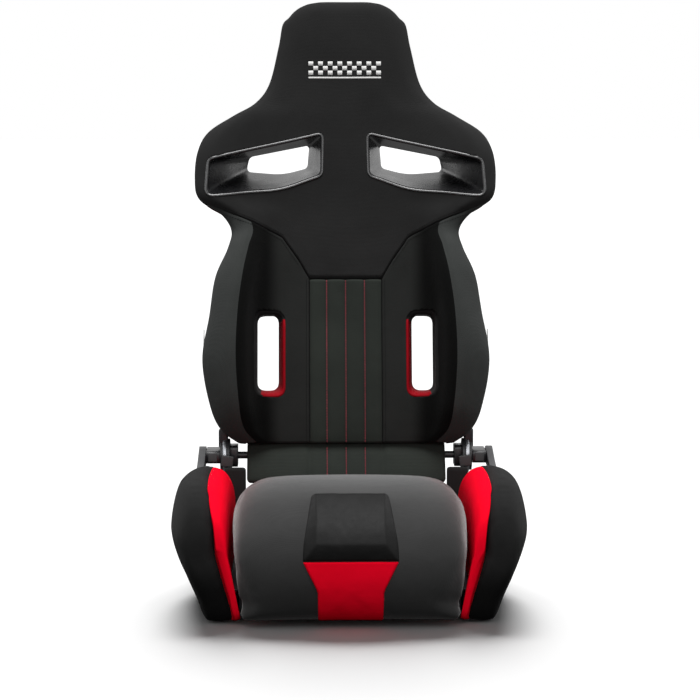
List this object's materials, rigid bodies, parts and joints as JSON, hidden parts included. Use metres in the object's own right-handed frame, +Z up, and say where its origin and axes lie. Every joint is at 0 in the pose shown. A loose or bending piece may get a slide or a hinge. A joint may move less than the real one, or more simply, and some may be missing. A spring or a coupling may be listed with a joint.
{
  "type": "racing seat",
  "caption": "Reclining sports car seat with a high winged backrest, harness pass-throughs, lumbar slots, thigh bolsters and a release lever that frees the hinge.",
  "frame": {"origin": "centre of the seat's bounding box at floor level, under the mounting spacers", "axes": "+Z up, the sitter looks along -Y, +X is the sitter's left"},
  "size_m": [0.5438, 0.672, 0.9534],
  "materials": {
    "knit_black": "fine black knitted cloth over foam",
    "flute_cloth": "dark grey-green technical cloth over foam",
    "crest_cloth": "charcoal woven cloth over foam",
    "seat_cloth": "smooth dark grey cloth over foam",
    "red_cloth": "red cloth over foam",
    "pad_hide": "dark grey grained hide over foam",
    "black_plastic": "grained black moulding",
    "grey_plastic": "grey moulding",
    "painted_steel": "black powder coat",
    "bare_steel": "zinc plated steel",
    "spring_steel": "oiled spring wire",
    "white_thread": "white embroidery thread"
  },
  "bodies": {
    "base": {"front_cross_tube": "painted_steel", "rear_cross_tube": "painted_steel", "seat_spring_1": "spring_steel", "seat_spring_2": "spring_steel", "seat_spring_3": "spring_steel", "seat_spring_4": "spring_steel", "seat_cushion": "seat_cloth", "front_insert_pad": "pad_hide", "nose_panel": "red_cloth", "side_rail_left": "painted_steel", "side_rail_right": "painted_steel", "mount_spacer_front_left": "bare_steel", "mount_spacer_front_right": "bare_steel", "mount_spacer_rear_left": "bare_steel", "mount_spacer_rear_right": "bare_steel", "thigh_bolster_left": "knit_black", "thigh_bolster_right": "knit_black", "bolster_inlay_left": "red_cloth", "bolster_inlay_right": "red_cloth", "thigh_wing_left": "painted_steel", "thigh_wing_right": "painted_steel", "recliner_bracket_left": "bare_steel", "recliner_bracket_right": "bare_steel", "recliner_bush_left": "grey_plastic", "recliner_bush_right": "grey_plastic", "recliner_core_left": "bare_steel", "recliner_core_right": "bare_steel"},
    "backrest": {"yoke_pad": "knit_black", "centre_pad": "flute_cloth", "tongue_pad": "flute_cloth", "back_bolster_left": "crest_cloth", "back_bolster_right": "crest_cloth", "slot_liner_left": "red_cloth", "slot_liner_right": "red_cloth", "rear_shell": "black_plastic", "strap_bezel_front_left": "black_plastic", "strap_bezel_front_right": "black_plastic", "strap_bezel_rear_left": "black_plastic", "strap_bezel_rear_right": "black_plastic", "hinge_cover_left": "black_plastic", "hinge_cover_right": "black_plastic", "lower_cross_bar": "painted_steel", "upper_cross_bar": "painted_steel", "head_hoop": "painted_steel", "back_upright_left": "painted_steel", "back_upright_right": "painted_steel", "shoulder_wire_left": "painted_steel", "shoulder_wire_right": "painted_steel", "hinge_arm_left": "bare_steel", "hinge_arm_right": "bare_steel", "arm_bolt_low_left": "bare_steel", "arm_bolt_low_right": "bare_steel", "lumbar_wire_low": "spring_steel", "lumbar_wire_high": "spring_steel", "head_patch": "white_thread", "side_tag_left": "white_thread", "side_tag_right": "white_thread"},
    "release": {"cross_shaft": "bare_steel", "release_lever_left": "black_plastic", "release_lever_right": "black_plastic"}
  },
  "joints": [
    {"name": "recline", "type": "hinge", "parent": "base", "child": "backrest", "pos_m": [0, 0.10678, 0.19], "axis": [-1, 0, 0], "range_deg": [-45, 55]},
    {"name": "lever_release", "type": "hinge", "parent": "base", "child": "release", "pos_m": [0, 0.10678, 0.19], "axis": [-1, 0, 0], "range_deg": [0, 25], "stiffness_Nm_per_rad": 1.5, "springref_deg": -17.19}
  ]
}
